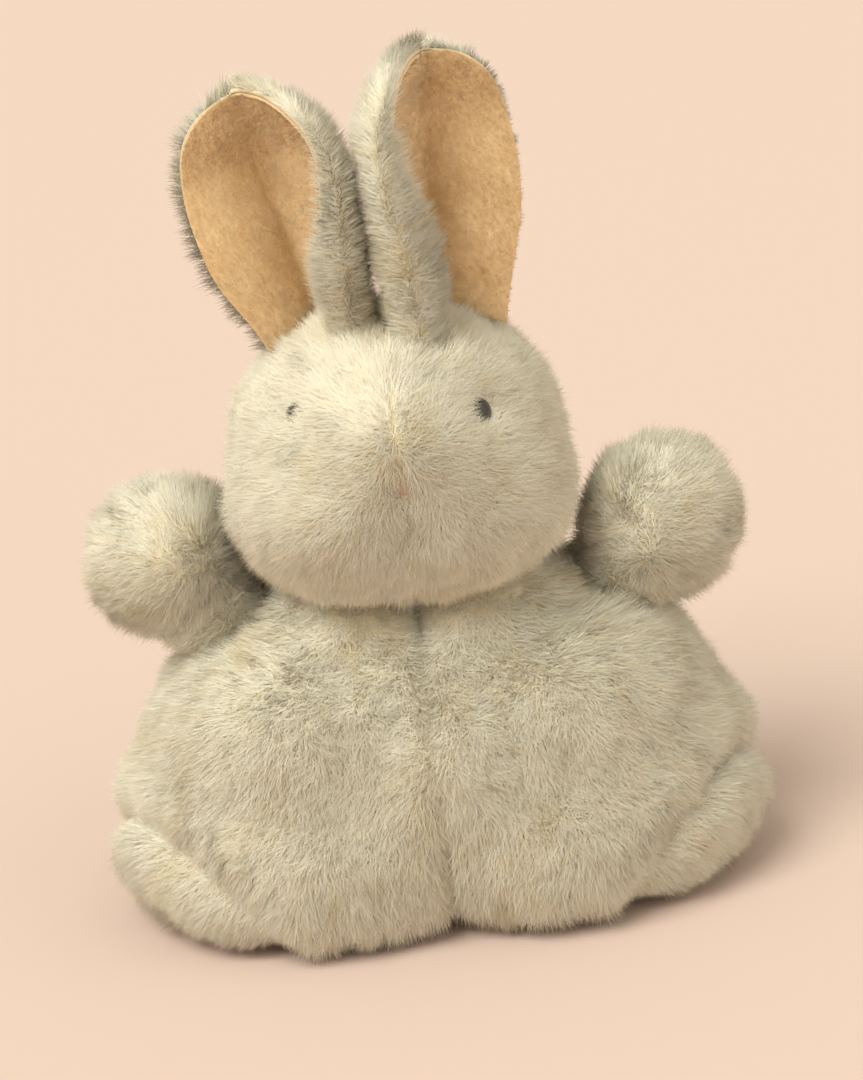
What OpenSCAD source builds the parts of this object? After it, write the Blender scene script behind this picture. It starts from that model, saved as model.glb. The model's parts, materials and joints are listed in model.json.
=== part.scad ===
// Sitting stuffed bunny: cut and sewn pile-fabric covers over fibre filling.
// The origin is on the surface it sits on, under the middle of the toy. +Z is up, the face looks
// towards -Y, and the toy's own left side is on +X. All sizes are in millimetres and are taken to
// the pressed-down pile, so loose hair tips stand a little outside them.

/* [Body] */
// Width of the body across its widest line
body_w = 172; // [168:1:176]
// Radius of each side's lap
lap_r = 53; // [52:0.5:54]
// Radius of each side's chest
chest_r = 39.5; // [38:0.5:40.5]
// Radius of each shoulder
shoulder_r = 28; // [27:0.5:29]
// Radius of the belly between the laps
belly_r = 52; // [51:0.5:53]
// Height of the laps' middle above the seat
lap_z = 26; // [24:1:28]
// Height of the top of the shoulders
shoulder_z = 96; // [94:1:97]
// Thickness of the flat base panel
base_t = 3.5; // [2.5:0.5:4.5]

/* [Covers] */
// Thickness of the pile fabric, with its hair pressed down
pile_t = 4; // [3:0.5:4.5]
// Thickness of the fabric backing alone
backing_t = 1; // [0.8:0.1:1.5]
// Gap left between two panels where they are sewn together
seam_gap = 0.2; // [0.1:0.05:0.4]

/* [Soles] */
// Direction in which each sole faces, turned outwards from straight ahead
sole_yaw = 62.5; // [58:0.5:66]
// Downward tilt of each sole
sole_pitch = 30; // [26:1:34]
// Distance of the sole seam's plane from the middle of the seat
sole_reach = 50; // [48:1:53]

/* [Head] */
// Width of the head
head_w = 89; // [87:1:90]
// Depth and height of the head
head_h = 81; // [79:1:82]
// Height of the head's middle above the seat
head_z = 121.5; // [121:0.5:124]
// How far the head's middle sits ahead of the side seams
head_forward = 5; // [4:0.5:6]

/* [Neck] */
// Height of the point about which the head nods
nod_z = 100; // [99:0.5:101]
// Radius of the neck's filling
neck_r = 12; // [11:0.5:13]
// Radius of the rounded top of the neck's filling
neck_ball_r = 14; // [13.5:0.5:15]
// Radius of the seat on top of the body that the head rolls in
seat_r = 53; // [52.8:0.1:54]

/* [Arms] */
// Radius of the arm's pad
arm_r = 18.5; // [17:0.5:18.5]
// Length of the arm from its seam to its tip
arm_l = 43.5; // [42:0.5:44]
// Distance of each arm's seam from the middle of the body
arm_x = 53.2; // [53:0.2:56]
// Height of each arm's seam above the seat
arm_z = 78.8; // [78.6:0.2:81]
// Lean of the arm away from straight up
arm_lean = 38.4; // [36:0.2:41]
// Radius of the sewn root of the arm
arm_root_r = 6; // [5:0.5:6.5]
// Length of the sewn root of the arm
arm_root_l = 24; // [20:1:26]
// Largest swing of the arm either way, in degrees
arm_limit = 40; // [30:1:40]

/* [Ears] */
// Width of the ear
ear_w = 39; // [36:1:40]
// Length of the ear above its root
ear_l = 76; // [72:1:78]
// Radius that the ear's sides are cut to
ear_side_r = 89; // [80:1:95]
// Radius that the ear's rounded tip is cut to, which also takes in the ear's foot
ear_tip_r = 40; // [39:0.5:44]
// How far the ear's rolled edges stand ahead of its root
ear_opening = 8; // [6:0.5:10]
// Distance of each ear's root from the middle of the head
ear_spread = 17.5; // [17:0.5:19]
// Lean of the toy's left ear away from straight up
left_ear_lean = 6; // [5:1:9]
// Lean of the toy's right ear away from straight up
right_ear_lean = 12; // [9:1:14]
// Forward tip of the toy's right ear
right_ear_tip = 8; // [4:1:10]
// Turn of the left ear's opening away from straight ahead
left_ear_turn = 35; // [25:1:40]
// Turn of the right ear's opening away from straight ahead
right_ear_turn = 22; // [15:1:35]
// Radius of the sewn root of the ear
ear_root_r = 4.5; // [4:0.5:5]
// Length of the sewn root of the ear
ear_root_l = 24; // [20:1:26]
// Largest bend of the ear either way, in degrees
ear_limit = 35; // [25:1:35]
// Thickness of the short-pile lining inside the ear
ear_lining_t = 1.6; // [1.2:0.2:2]

/* [Face] */
// Diameter of the eye's glossy dome
eye_d = 8.4; // [7:0.2:9]
// Diameter of the eye's shank
eye_shank_d = 3.2; // [3:0.1:3.6]
// Length of the eye's shank behind the dome
eye_shank_l = 12; // [10:1:13]
// Diameter of the locking washer on the shank
washer_d = 13; // [11:1:14]
// Thickness of the locking washer
washer_t = 1.4; // [1:0.2:2]
// Turn of the left eye outwards from straight ahead
left_eye_turn = 34; // [30:1:40]
// Rise of the left eye above the head's middle, in degrees
left_eye_rise = 27; // [22:1:30]
// Turn of the right eye outwards from straight ahead
right_eye_turn = 43; // [38:1:48]
// Rise of the right eye above the head's middle, in degrees
right_eye_rise = 33; // [28:1:36]
// Diameter of the embroidered nose
nose_d = 10; // [8:0.5:12]
// Thickness of the embroidery
nose_t = 3; // [2:0.5:3.5]
// Drop of the nose below the head's middle, in degrees
nose_drop = 1; // [0:1:8]

/* [Tail] */
// Radius of the tail
tail_r = 14; // [12:1:15]
// How far the tail's middle stands behind the side seams
tail_back = 57; // [55:1:59]

/* [Hidden] */
$fn = 96;

FUR = "#EBE0C6";
VELOUR = "#D9B083";
FIBRE = "#F6F4EE";
BLACK = "#17120F";
THREAD = "#C9A48C";
PLASTIC = "#D8D6D0";

far = 200;                      // larger than the toy, for cutting solids
clear = 0.4;                    // room round a filling that turns inside another piece
slip = 0.1;                     // gap between a cover and its filling
thread_r = 0.5;                 // radius of the sewing thread

// Balls that make up each side of the body: distance from the middle, height and radius
belly_z = 31;
body_balls = [
    [body_w / 2 - lap_r, lap_z, lap_r],
    [25, 49, chest_r],
    [18, shoulder_z - shoulder_r, shoulder_r],
    [0, belly_z, belly_r]];
origin_y = (lap_r - tail_back - tail_r) / 2;    // puts the origin under the middle

head_r = head_h / 2;
head_x = head_w / 2 - head_r;   // each side of the head is a ball, this far from the middle
head_y = -head_forward;
seat_rise = 8.5;                // height of the head seat's middle above the head's middle
neck_base_z = 62;               // bottom of the neck's filling, inside the body
neck_throat_r = 20;             // radius of the head's neck opening at its foot
stitch_pitch = 5;

arm_wedge = 90 - arm_limit - 1; // half angle of the arm's root, so that the arm can swing
ear_wedge = 90 - ear_limit - 8; // half angle of the ear's root
ear_tube_y = -6.5;              // axis of the ear's rolled form, ahead of its root
ear_roll_r = ear_w / 2 + 1.5;   // radius of that rolled form
ear_pleat = 9;                  // height of the solid, folded part of the ear
ear_mid_z = 33;                 // height of the ear's widest line above its root
arm_hollow_z = arm_root_r + 2;  // foot of the room for the arm's filling
// Height of the head's surface where the ears are sewn on
ear_root_z = head_z + 0.6 + sqrt(pow(head_r, 2) - pow(ear_spread - head_x, 2));

// ---------- shared forms ----------

// Everything beyond a plane across one axis: sign +1 keeps the far side, -1 the near side
module beyond_x(at, sign) {
    translate([sign > 0 ? at : at - far, -far, -far]) cube([far, 2 * far, 2 * far]);
}

module beyond_y(at, sign) {
    translate([-far, sign > 0 ? at : at - far, -far]) cube([2 * far, far, 2 * far]);
}

module beyond_z(at, sign) {
    translate([-far, -far, sign > 0 ? at : at - far]) cube([2 * far, 2 * far, far]);
}

// Part of a form to one side of the middle seam and one side of the side seam
module quadrant(side, end, seam_y = 0) {
    intersection() {
        children();
        beyond_x(side * seam_gap / 2, side);
        beyond_y(seam_y + end * seam_gap / 2, end);
    }
}

module mirrored(side) {
    if (side > 0) children();
    else mirror([1, 0, 0]) children();
}

// Wedge above a hinge line along X, so that what stands on it can swing without digging in
module wedge(half_angle) {
    intersection() {
        rotate([90 - half_angle, 0, 0]) beyond_z(0, 1);
        rotate([half_angle - 90, 0, 0]) beyond_z(0, 1);
    }
}

// ---------- body ----------

module body_side(side, inset) {
    for (b = body_balls) translate([side * b[0], 0, b[1]]) sphere(r = b[2] - inset);
}

module body_form(inset) {
    body_side(1, inset);
    body_side(-1, inset);
}

// Hollow in the top of the body that the head rolls in
module head_seat(inset) {
    for (side = [1, -1])
        translate([side * head_x, head_y, head_z + seat_rise]) sphere(r = seat_r + inset);
}

module arm_place(side) {
    mirrored(side) translate([arm_x, 0, arm_z]) rotate([0, arm_lean, 0]) children();
}

module arm_groove(side) {
    arm_place(side) rotate([0, 90, 0])
        cylinder(r = arm_root_r + clear, h = arm_root_l + 4, center = true);
}

module neck_hole(room) {
    translate([0, head_y, neck_base_z - room])
        cylinder(r = neck_r + room, h = far - neck_base_z);
}

// Everything outwards of the sole's seam
module sole_side(side, room) {
    mirrored(side) rotate([0, sole_pitch, sole_yaw - 90]) beyond_x(sole_reach + room, 1);
}

// One side of the body's cover, with the fold of fabric that lines the head's seat
module body_cover(side) {
    difference() {
        body_side(side, 0);
        difference() {
            body_side(side, pile_t);
            head_seat(pile_t);
        }
        beyond_z(base_t, -1);
        head_seat(0);
        neck_hole(clear);
        arm_groove(side);
    }
}

module body_panel(side, end) {
    color(FUR) difference() {
        quadrant(side, end) body_cover(side);
        sole_side(side, 0);
    }
}

module sole(side) {
    color(FUR) intersection() {
        body_cover(side);
        sole_side(side, seam_gap);
        beyond_x(0, side);
    }
}

module base_panel() {
    color(FUR) intersection() {
        body_form(0);
        translate([-far, -far, 0]) cube([2 * far, 2 * far, base_t - seam_gap]);
    }
}

module body_filling() {
    color(FIBRE) difference() {
        body_form(pile_t + slip);
        beyond_z(base_t, -1);
        head_seat(pile_t + slip);
        neck_hole(clear);
        arm_groove(1);
        arm_groove(-1);
    }
}

// Depth at which a thread lies on the back's surface at a height
function back_y(z) = sqrt(pow(belly_r + thread_r + slip, 2) - pow(z - belly_z, 2));

// Ladder stitches that close the seam down the middle of the back
module closing_stitches() {
    first_z = belly_z + tail_r + 4;
    color(THREAD)
        for (z = [first_z : stitch_pitch : first_z + 4 * stitch_pitch])
            translate([0, back_y(z), z]) rotate([0, 90, 0])
                cylinder(r = thread_r, h = 5, center = true);
}

// ---------- tail ----------

module tail_place() {
    translate([0, tail_back, belly_z]) rotate([-90, 0, 0]) children();
}

module tail_ball(inset) {
    difference() {
        tail_place() sphere(r = tail_r - inset);
        translate([0, 0, belly_z]) rotate([-90, 0, 0]) sphere(r = belly_r + slip);
    }
}

module tail_cover() {
    color(FUR) difference() {
        tail_ball(0);
        tail_place() sphere(r = tail_r - pile_t);
    }
}

module tail_filling() {
    color(FIBRE) tail_ball(pile_t + slip);
}

// ---------- neck ----------

module neck_filling() {
    color(FIBRE) translate([0, head_y, 0]) {
        translate([0, 0, neck_base_z]) cylinder(r = neck_r, h = nod_z - neck_base_z);
        translate([0, 0, nod_z]) sphere(r = neck_ball_r);
    }
}

// Gathering thread drawn round the neck
module neck_thread() {
    color(THREAD) translate([0, head_y, head_z - head_r - 1])
        rotate_extrude() translate([neck_r + thread_r + 0.05, 0]) circle(r = thread_r, $fn = 24);
}

// Room inside the head for the neck's filling as the head nods
module neck_socket() {
    translate([0, head_y, 0]) {
        translate([0, 0, nod_z]) sphere(r = neck_ball_r + clear);
        translate([0, 0, nod_z - 26]) cylinder(r1 = neck_throat_r, r2 = neck_ball_r, h = 24);
    }
}

// ---------- head ----------

module head_side(side, inset) {
    translate([side * head_x, head_y, head_z]) sphere(r = head_r - inset);
}

// Puts the ear's root line along X and the ear up along Z
module ear_place(side) {
    lean = side > 0 ? left_ear_lean : right_ear_lean;
    tip = side > 0 ? 0 : right_ear_tip;
    mirrored(side) translate([ear_spread, head_y, ear_root_z])
        rotate([0, lean, 0]) rotate([tip, 0, 0]) children();
}

module ear_groove(side) {
    ear_place(side) rotate([0, 90, 0])
        cylinder(r = ear_root_r + clear, h = ear_root_l + 10, center = true);
}

// Puts a form whose +Z leaves the head at an eye, with Z = 0 at the cover's outer surface
module eye_place(side) {
    turn = side > 0 ? left_eye_turn : right_eye_turn;
    rise = side > 0 ? left_eye_rise : right_eye_rise;
    mirrored(side) translate([head_x, head_y, head_z])
        rotate([0, 0, turn - 90]) rotate([0, 90 - rise, 0]) translate([0, 0, head_r]) children();
}

// Pocket in the pile for the eye's dome, and the hole in the backing for its shank
module eye_pocket() {
    translate([0, 0, backing_t - pile_t]) cylinder(d = eye_d + 0.4, h = 2 * pile_t);
    translate([0, 0, -2 * pile_t]) cylinder(d = eye_shank_d + 0.1, h = 3 * pile_t);
}

// Room in the filling for the eye's shank and washer
module eye_room() {
    translate([0, 0, -pile_t - eye_shank_l]) cylinder(d = eye_shank_d + 0.4, h = eye_shank_l);
    translate([0, 0, -pile_t - washer_t - 1.6]) cylinder(d = washer_d + 0.4, h = washer_t + 4);
}

// Puts a disc whose +Z leaves the head at the nose
module nose_place() {
    translate([0, head_y, head_z]) rotate([90 + nose_drop, 0, 0])
        translate([0, 0, head_r - nose_t + 0.8]) children();
}

module head_panel(side, end) {
    color(FUR) difference() {
        quadrant(side, end, head_y) difference() {
            head_side(side, 0);
            head_side(side, pile_t);
        }
        neck_socket();
        ear_groove(side);
        if (end < 0) eye_place(side) eye_pocket();
        if (end < 0) nose_place() cylinder(d = nose_d + 0.1, h = 2 * nose_t);
    }
}

module head_filling() {
    color(FIBRE) difference() {
        union() {
            head_side(1, pile_t + slip);
            head_side(-1, pile_t + slip);
        }
        neck_socket();
        for (side = [1, -1]) {
            ear_groove(side);
            eye_place(side) eye_room();
        }
    }
}

// Glossy dome with its shank
module eye(side) {
    seat = backing_t - pile_t + 0.05;
    color(BLACK) eye_place(side) {
        translate([0, 0, seat]) intersection() {
            sphere(d = eye_d);
            cylinder(d = eye_d + 1, h = eye_d);
        }
        translate([0, 0, seat - eye_shank_l]) cylinder(d = eye_shank_d, h = eye_shank_l + 1);
    }
}

module eye_washer(side) {
    color(PLASTIC) eye_place(side) translate([0, 0, -pile_t - washer_t - 1.2]) difference() {
        cylinder(d = washer_d, h = washer_t);
        translate([0, 0, -1]) cylinder(d = eye_shank_d + 0.04, h = washer_t + 2);
    }
}

module nose_stitching() {
    color(THREAD) nose_place() intersection() {
        cylinder(d = nose_d, h = nose_t);
        translate([0, 0, nose_t - nose_d]) sphere(r = nose_d);
    }
}

// ---------- ears ----------

module ear_turn(side) {
    rotate([0, 0, side > 0 ? left_ear_turn : right_ear_turn]) children();
}

// Curved side edge that the ear is cut to, seen from the front
module ear_side(side) {
    translate([side * (ear_w / 2 - ear_side_r), ear_w, ear_mid_z]) rotate([90, 0, 0])
        cylinder(r = ear_side_r, h = 2 * ear_w);
}

// Rolled form of the given radius, from a height up, cut to the ear's outline and opening
module ear_roll(radius, from_z) {
    intersection() {
        translate([0, ear_tube_y, from_z]) cylinder(r = radius, h = ear_l);
        ear_side(1);
        ear_side(-1);
        translate([0, ear_w, ear_l - ear_tip_r]) rotate([90, 0, 0])
            cylinder(r = ear_tip_r, h = 2 * ear_w);
        beyond_y(-ear_opening, 1);
    }
}

module ear_back(side) {
    color(FUR) ear_place(side) {
        intersection() {
            ear_turn(side) difference() {
                ear_roll(ear_roll_r, 0);
                translate([0, ear_tube_y, ear_pleat]) cylinder(r = ear_roll_r - pile_t, h = ear_l);
            }
            wedge(ear_wedge);
        }
        rotate([0, 90, 0]) cylinder(r = ear_root_r, h = ear_root_l, center = true);
    }
}

module ear_lining(side) {
    outer_r = ear_roll_r - pile_t - slip / 2;
    floor_z = ear_pleat + slip / 2;
    color(VELOUR) ear_place(side) intersection() {
        ear_turn(side) difference() {
            ear_roll(outer_r, floor_z);
            translate([0, ear_tube_y, floor_z + ear_lining_t])
                cylinder(r = outer_r - ear_lining_t, h = ear_l);
        }
        wedge(ear_wedge);
    }
}

// ---------- arms ----------

module arm_form(inset) {
    for (z = [arm_r - 1, arm_l - arm_r])
        translate([-2, 0, z]) sphere(r = arm_r - inset);
}

// Front or back half of the arm's cover, with half of its sewn root
module arm_cover(side, end) {
    color(FUR) arm_place(side) intersection() {
        difference() {
            union() {
                intersection() {
                    arm_form(0);
                    wedge(arm_wedge);
                }
                rotate([0, 90, 0]) cylinder(r = arm_root_r, h = arm_root_l, center = true);
            }
            intersection() {
                arm_form(pile_t);
                translate([0, 0, arm_hollow_z]) wedge(arm_wedge);
            }
        }
        beyond_y(end * seam_gap / 2, end);
    }
}

module arm_filling(side) {
    color(FIBRE) arm_place(side) intersection() {
        arm_form(pile_t + slip);
        translate([0, 0, arm_hollow_z + 2 * slip]) wedge(arm_wedge);
    }
}

// ---------- assembly ----------

translate([0, origin_y, 0]) {
    head_panel(1, -1);  // head_front_left
    head_panel(-1, -1);  // head_front_right
    head_panel(1, 1);  // head_back_left
    head_panel(-1, 1);  // head_back_right
    head_filling();
    eye(1);  // left_eye
    eye(-1);  // right_eye
    eye_washer(1);  // left_eye_washer
    eye_washer(-1);  // right_eye_washer
    nose_stitching();
    ear_back(1);  // left_ear_back
    ear_lining(1);  // left_ear_lining
    ear_back(-1);  // right_ear_back
    ear_lining(-1);  // right_ear_lining
    neck_filling();
    neck_thread();
    body_panel(1, -1);  // body_front_left
    body_panel(-1, -1);  // body_front_right
    body_panel(1, 1);  // body_back_left
    body_panel(-1, 1);  // body_back_right
    sole(1);  // left_sole
    sole(-1);  // right_sole
    base_panel();
    body_filling();
    closing_stitches();
    arm_cover(1, -1);  // left_arm_front
    arm_cover(1, 1);  // left_arm_back
    arm_filling(1);  // left_arm_filling
    arm_cover(-1, -1);  // right_arm_front
    arm_cover(-1, 1);  // right_arm_back
    arm_filling(-1);  // right_arm_filling
    tail_cover();
    tail_filling();
}
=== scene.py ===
import math

import bmesh
import bpy
import numpy as np
from mathutils import Matrix, Vector
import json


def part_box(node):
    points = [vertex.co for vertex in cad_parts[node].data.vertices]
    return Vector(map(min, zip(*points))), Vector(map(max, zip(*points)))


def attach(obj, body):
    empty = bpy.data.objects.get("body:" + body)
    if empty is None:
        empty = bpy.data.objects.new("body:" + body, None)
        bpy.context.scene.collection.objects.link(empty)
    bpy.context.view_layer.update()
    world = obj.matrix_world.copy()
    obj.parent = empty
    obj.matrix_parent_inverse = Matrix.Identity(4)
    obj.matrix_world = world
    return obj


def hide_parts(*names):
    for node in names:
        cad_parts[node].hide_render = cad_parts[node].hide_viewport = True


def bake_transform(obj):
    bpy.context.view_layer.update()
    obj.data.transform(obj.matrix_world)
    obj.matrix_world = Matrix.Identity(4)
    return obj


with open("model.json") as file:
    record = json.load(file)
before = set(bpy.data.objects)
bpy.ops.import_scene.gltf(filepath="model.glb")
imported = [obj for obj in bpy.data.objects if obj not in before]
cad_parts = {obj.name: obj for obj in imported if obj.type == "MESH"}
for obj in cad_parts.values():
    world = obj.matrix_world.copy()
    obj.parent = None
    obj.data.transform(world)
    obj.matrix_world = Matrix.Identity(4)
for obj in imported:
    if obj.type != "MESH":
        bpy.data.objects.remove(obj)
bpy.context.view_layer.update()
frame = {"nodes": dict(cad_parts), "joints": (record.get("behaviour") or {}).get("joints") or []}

# A stuffed rabbit: each panel of its cover is a woven backing with real hairs on it. The body's and
# the head's covers are stuffed by a cloth simulation. The toy faces -Y and sits on Z = 0, and its
# left is +X. All sizes are in millimetres until a mesh is made, unless a comment says otherwise.
MM = 0.001


# ---------- small helpers ----------

def unit(a):
    """The same directions, each with a length of 1."""
    return a / np.maximum(np.linalg.norm(a, axis=-1, keepdims=True), 1e-9)


def smoothstep(x, low, high):
    """0 up to low, 1 from high on, and a smooth climb between them."""
    t = np.clip((x - low) / (high - low), 0, 1)
    return t * t * (3 - 2 * t)


def near(distance, width):
    """1 where the distance is 0, and fading to nothing at about twice the width."""
    return np.exp(-(distance / width) ** 2)


def dot(a, b):
    """The dot product of each pair of rows."""
    return (a * b).sum(-1)


def box_mm(node):
    """A CAD node's lowest and highest corners."""
    low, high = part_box(node)
    return np.array(low) / MM, np.array(high) / MM


WAVES_PEAK = 1.6      # how many standard deviations of the summed waves count as 1


def waves(points, size, seed, count=14):
    """Smooth noise from -1 to 1, as a sum of plane waves of about the given size."""
    rng = np.random.default_rng(seed)
    direction = unit(rng.normal(size=(count, 3)))
    pitch = 2 * math.pi / (size * rng.uniform(0.7, 1.5, count))
    phase = rng.uniform(0, 2 * math.pi, count)
    total = np.sin(points @ (direction * pitch[:, None]).T + phase).sum(1)
    return total / math.sqrt(count / 2) / WAVES_PEAK


def wave_vectors(points, size, seed):
    """Smooth noise with three components."""
    return np.stack([waves(points, size, seed + k) for k in range(3)], axis=1)


def word_of(side):
    """The toy's side: 1 is left and -1 is right."""
    return "left" if side > 0 else "right"


def rotation(axis, degrees):
    """The matrix of a turn about an axis."""
    return np.array(Matrix.Rotation(math.radians(degrees), 3, Vector(axis)))


# ---------- places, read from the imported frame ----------

joints = {j["name"]: j for j in frame["joints"]}


def pivot(joint):
    """Where a joint's axis passes."""
    return np.array(joints[joint]["pos_m"]) / MM


def hinge_axis(joint):
    """The direction of a joint's axis."""
    return np.array(joints[joint]["axis"])


seam_y = float(pivot("left_arm_swing")[1])
base_top = box_mm("base_panel")[1][2]
head_panels = [box_mm(f"head_{end}_{side}") for end in ("front", "back") for side in ("left", "right")]
head_min = np.min([b[0] for b in head_panels], axis=0)
head_max = np.max([b[1] for b in head_panels], axis=0)
# The head's middle lies half its width below its top
head_mid = np.array([0.0, (head_min[1] + head_max[1]) / 2, head_max[2] - (head_max[1] - head_min[1]) / 2])
tail_low, tail_high = box_mm("tail_cover")


# ---------- forms ----------

NEAREST = 4.0          # a skin lies at least this far from the point that it is projected from
HALVINGS = 16          # of the stretch that a skin's surface is searched in
FINE_HALVINGS = 20     # where one point of it is looked for


class Ball:
    """An ellipsoid, as a distance-like function."""

    def __init__(self, centre, radii, turn=None):
        self.centre = np.array(centre, float)
        self.radii = np.array(radii, float) * np.ones(3)
        self.turn = turn

    def __call__(self, p):
        q = p - self.centre
        if self.turn is not None:
            q = q @ self.turn
        return (np.linalg.norm(q / self.radii, axis=-1) - 1) * self.radii.min()


def merge(values, softness):
    """Smooth union of several distances."""
    total = values[0]
    for v in values[1:]:
        h = np.clip(0.5 + 0.5 * (v - total) / softness, 0, 1)
        total = v + (total - v) * h - softness * h * (1 - h)
    return total


def keep_above(distance, z, floor_z, softness):
    """Cuts a form off at a floor, with a rounded rim."""
    return -merge([-distance, z - floor_z], softness)


def project(form, centre, detail, reach=140.0):
    """A closed mesh of a star-shaped form: points and faces, from a subdivided icosahedron."""
    bm = bmesh.new()
    bmesh.ops.create_icosphere(bm, subdivisions=detail, radius=1)
    rays = np.array([v.co for v in bm.verts])
    faces = np.array([[v.index for v in f.verts] for f in bm.faces])
    bm.free()
    low, high = np.full(len(rays), NEAREST), np.full(len(rays), reach)
    for _ in range(HALVINGS):
        mid = (low + high) / 2
        inside = form(centre + rays * mid[:, None]) < 0
        low = np.where(inside, mid, low)
        high = np.where(inside, high, mid)
    return centre + rays * low[:, None], faces


# Skin is the fabric's backing: it lies this far inside the CAD surface, which is the pressed pile
SKIN_IN = 2.0

torso_mid = np.array([0.0, seam_y, 40.0])

# Each form's parts: a ball's middle and its radii. They are for the toy's left side, and are
# mirrored. The torso's are from the middle of its base and the head's from head_mid.
TORSO_PARTS = {"lap": ((34, 1, 23.5), (52.5, 51, 33)),
               "flank": ((32, -1, 44), (41, 43, 36.5)),
               "shoulder": ((18, -1, 69), (26, 26, 26)),
               "belly": ((0, 2, 33), (50, 50, 48)),
               "thigh": ((29, -19, 17), (38, 34, 24))}
HEAD_PARTS = {"skull": ((2.0, 0, 0.8), (38.0, 37.0, 37.0)),
              "muzzle": ((14, -16, -10), (21, 18.5, 16.5)),
              "cheek": ((17, -6, -9), (24.6, 25, 22)),
              "brow": ((0, -21, 6), (14, 15, 22))}
TORSO_SOFTNESS, HEAD_SOFTNESS = 7.0, 6.0      # how widely a form's parts run into each other
BASE_SOFTNESS = 9.0                           # how round the rim of the base is


def torso_form(p, inset=0.0):
    """The body: laps, flanks, shoulders and belly, and thighs that spread forwards at the foot."""
    q = p.copy()
    q[:, 0] = np.abs(q[:, 0])
    q = q - np.array([0, seam_y, 0])
    d = merge([Ball(*part)(q) for part in TORSO_PARTS.values()], TORSO_SOFTNESS) + inset
    return keep_above(d, q[:, 2], SKIN_IN, BASE_SOFTNESS)


def head_form(p, inset=0.0):
    """The head: a round skull with a short broad muzzle and full cheeks."""
    q = p - head_mid
    q[:, 0] = np.abs(q[:, 0])
    return merge([Ball(*part)(q) for part in HEAD_PARTS.values()], HEAD_SOFTNESS) + inset


# ---------- meshes ----------

def vertex_normals(points, faces):
    """Area-weighted normals of a triangle mesh."""
    tri = points[faces]
    n = np.cross(tri[:, 1] - tri[:, 0], tri[:, 2] - tri[:, 0])
    out = np.zeros_like(points)
    for k in range(3):
        np.add.at(out, faces[:, k], n)
    return unit(out)


def make_mesh(name, points, faces):
    """A smooth-shaded object from points and faces that all have as many corners."""
    faces = np.asarray(faces, np.int32)
    corners = faces.shape[1]
    mesh = bpy.data.meshes.new(name)
    mesh.vertices.add(len(points))
    mesh.vertices.foreach_set("co", (points * MM).astype(np.float32).ravel())
    mesh.loops.add(faces.size)
    mesh.loops.foreach_set("vertex_index", faces.ravel())
    mesh.polygons.add(len(faces))
    mesh.polygons.foreach_set("loop_start", np.arange(0, faces.size, corners, dtype=np.int32))
    mesh.polygons.foreach_set("loop_total", np.full(len(faces), corners, np.int32))
    mesh.update(calc_edges=True)
    mesh.shade_smooth()
    obj = bpy.data.objects.new(name, mesh)
    bpy.context.scene.collection.objects.link(obj)
    return obj


def mesh_points(obj):
    """An object's vertices."""
    co = np.zeros(len(obj.data.vertices) * 3, np.float32)
    obj.data.vertices.foreach_get("co", co)
    return co.reshape(-1, 3).astype(float) / MM


def set_points(obj, points):
    """Moves an object's vertices."""
    obj.data.vertices.foreach_set("co", (points * MM).astype(np.float32).ravel())
    obj.data.update()


def apply_modifiers(obj):
    """Keeps what an object's modifiers make as its own mesh."""
    graph = bpy.context.evaluated_depsgraph_get()
    mesh = bpy.data.meshes.new_from_object(obj.evaluated_get(graph))
    obj.modifiers.clear()
    obj.data = mesh


DETAIL, QUICK_DETAIL = 5, 6      # how often a cover's icosahedron is split; DETAIL comes before refine()
STUFFING_PRESSURE = 4.0
CLOTH_FRAMES = 20
CLOTH = {"quality": 5, "mass": 0.3, "tension_stiffness": 25, "compression_stiffness": 25,
         "bending_stiffness": 0.6, "use_pressure": True, "uniform_pressure_force": STUFFING_PRESSURE,
         "vertex_group_mass": "seam", "pin_stiffness": 1.2}
HELD_AT_LEAST = 0.02   # a vertex that is held less than this isn't held at all


def inflate(obj, held, cap):
    """Stuffs a sewn cover: cloth under pressure, held along its seams, moved no further than cap."""
    before = mesh_points(obj)
    group = obj.vertex_groups.new(name="seam")
    for i in np.nonzero(held > HELD_AT_LEAST)[0]:
        group.add([int(i)], float(held[i]), "REPLACE")
    cloth = obj.modifiers.new("stuffing", "CLOTH")
    for key, value in CLOTH.items():
        setattr(cloth.settings, key, value)
    cloth.settings.effector_weights.gravity = 0
    for number in range(1, CLOTH_FRAMES + 1):
        bpy.context.scene.frame_set(number)
    apply_modifiers(obj)
    obj.vertex_groups.clear()
    after = mesh_points(obj)
    moved = after - before
    far = np.linalg.norm(moved, axis=1, keepdims=True)
    moved *= np.minimum(1, cap / np.maximum(far, 1e-6))
    set_points(obj, before + moved)
    bpy.context.scene.frame_set(1)


def groove(distance, width, depth):
    """How far a seam draws the skin in, at a distance from it."""
    return -depth * near(distance, width)


def bump(p, at, size, height):
    """How far the skin stands out round a point."""
    return height * near(np.linalg.norm(p - at, axis=1), size)


def refine(obj):
    """Splits each face into four, and rounds the surface."""
    m = obj.modifiers.new("round", "SUBSURF")
    m.levels = 1
    m.render_levels = 1
    apply_modifiers(obj)
    obj.data.shade_smooth()


def triangles(obj):
    """An object's faces as triangles, three vertex numbers to each."""
    obj.data.calc_loop_triangles()
    t = np.zeros(len(obj.data.loop_triangles) * 3, np.int32)
    obj.data.loop_triangles.foreach_get("vertices", t)
    return t.reshape(-1, 3)


def stuffed(name, form, middle, slack, swell, hold):
    """A whole cover, which starts slack, inside its form, and is swelled by its stuffing.

    hold says how firmly each point is held."""
    points, faces = project(lambda p: form(p, slack), middle, DETAIL)
    obj = make_mesh(name, points, faces)
    inflate(obj, hold(points), swell)
    refine(obj)
    return obj


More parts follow.
